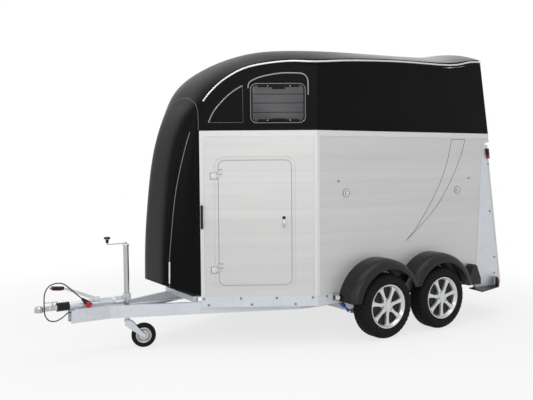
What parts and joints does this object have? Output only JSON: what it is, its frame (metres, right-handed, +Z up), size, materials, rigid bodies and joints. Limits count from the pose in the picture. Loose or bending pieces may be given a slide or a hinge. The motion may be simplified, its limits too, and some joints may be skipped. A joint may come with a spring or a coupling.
{
  "type": "horse trailer",
  "caption": "Two-horse trailer with a moulded black nose and roof, silver boarded sides, side doors, a rear ramp and a braked twin axle.",
  "frame": {"origin": "on the ground, under the middle of the trailer's length and width", "axes": "+X forward to the coupling, +Y to the left, +Z up"},
  "size_m": [4.7576, 2.212, 2.814],
  "materials": {
    "galvanised": "hot-dip galvanised, satin",
    "cast_zinc": "zinc plated",
    "boards": "silver anodised planks",
    "ramp_boards": "silver anodised planks",
    "profile": "satin anodised",
    "black_shell": "gloss black glass-fibre",
    "window_frame": "satin moulded",
    "black_plastic": "grained moulded",
    "floor_board": "coated plywood",
    "padding": "padded panel",
    "canvas": "coated canvas",
    "black_rubber": "moulded",
    "plug_red": "moulded",
    "damper_blue": "painted",
    "lamp_clear": "moulded lens",
    "lamp_red": "moulded lens",
    "tyre": "moulded tread",
    "rim_silver": "silver lacquer"
  },
  "bodies": {
    "root": {"drawbar_left": "galvanised", "drawbar_right": "galvanised", "sill_left": "galvanised", "sill_right": "galvanised", "cross_members": "galvanised", "axle_front": "galvanised", "axle_rear": "galvanised", "dampers": "damper_blue", "overrun_housing": "galvanised", "bellows": "black_rubber", "coupling_head": "cast_zinc", "coupling_handle": "galvanised", "handbrake": "galvanised", "jockey_clamp": "galvanised", "jockey_tube": "galvanised", "jockey_crank": "galvanised", "floor": "floor_board", "nose_tray": "black_plastic", "wall_left": "boards", "wall_right": "boards", "front_wall_left": "boards", "front_wall_right": "boards", "profiles_left": "profile", "profiles_right": "profile", "hood": "black_shell", "upper_side_left": "black_shell", "upper_side_right": "black_shell", "window_left": "window_frame", "window_right": "window_frame", "rear_post_left": "galvanised", "rear_post_right": "galvanised", "rear_frame": "galvanised", "mudguard_left": "black_plastic", "mudguard_right": "black_plastic", "front_lamps": "lamp_clear", "rear_lamps": "lamp_red", "side_fittings": "profile", "grab_handles": "black_plastic", "chocks": "black_plastic", "corner_plates": "black_plastic", "partition": "padding", "curtain": "canvas", "plug_cable": "black_rubber", "plug": "plug_red"},
    "wheel_front_left": {"tyre_front_left": "tyre", "rim_front_left": "rim_silver"},
    "wheel_front_right": {"tyre_front_right": "tyre", "rim_front_right": "rim_silver"},
    "wheel_rear_left": {"tyre_rear_left": "tyre", "rim_rear_left": "rim_silver"},
    "wheel_rear_right": {"tyre_rear_right": "tyre", "rim_rear_right": "rim_silver"},
    "door_left": {"door_left": "boards"},
    "door_right": {"door_right": "boards"},
    "ramp": {"ramp": "ramp_boards"},
    "jockey_fork": {"jockey_fork": "galvanised"},
    "jockey_wheel": {"jockey_rim": "galvanised", "jockey_tyre": "tyre"}
  },
  "joints": [
    {"name": "wheel_front_left_spin", "type": "hinge", "parent": "root", "child": "wheel_front_left", "pos_m": [-0.54223, 0.994, 0.3025], "axis": [0, 1, 0], "continuous": true},
    {"name": "wheel_rear_left_spin", "type": "hinge", "parent": "root", "child": "wheel_rear_left", "pos_m": [-1.25023, 0.994, 0.3025], "axis": [0, 1, 0], "continuous": true},
    {"name": "wheel_front_right_spin", "type": "hinge", "parent": "root", "child": "wheel_front_right", "pos_m": [-0.54223, -0.994, 0.3025], "axis": [0, 1, 0], "continuous": true},
    {"name": "wheel_rear_right_spin", "type": "hinge", "parent": "root", "child": "wheel_rear_right", "pos_m": [-1.25023, -0.994, 0.3025], "axis": [0, 1, 0], "continuous": true},
    {"name": "door_left_hinge", "type": "hinge", "parent": "root", "child": "door_left", "pos_m": [0.88138, 0.43979, 1.1], "axis": [0, 0, -1], "range_deg": [0, 110]},
    {"name": "door_right_hinge", "type": "hinge", "parent": "root", "child": "door_right", "pos_m": [0.88138, -0.43979, 1.1], "axis": [0, 0, 1], "range_deg": [0, 110]},
    {"name": "ramp_hinge", "type": "hinge", "parent": "root", "child": "ramp", "pos_m": [-2.35127, 0, 0.318], "axis": [0, -1, 0], "range_deg": [0, 109]},
    {"name": "jockey_swivel", "type": "hinge", "parent": "root", "child": "jockey_fork", "pos_m": [1.57777, 0, 0.3], "axis": [0, 0, 1], "continuous": true},
    {"name": "jockey_wheel_spin", "type": "hinge", "parent": "jockey_fork", "child": "jockey_wheel", "pos_m": [1.44521, 0.05089, 0.108], "axis": [-0.3584, -0.9336, 0], "continuous": true}
  ]
}
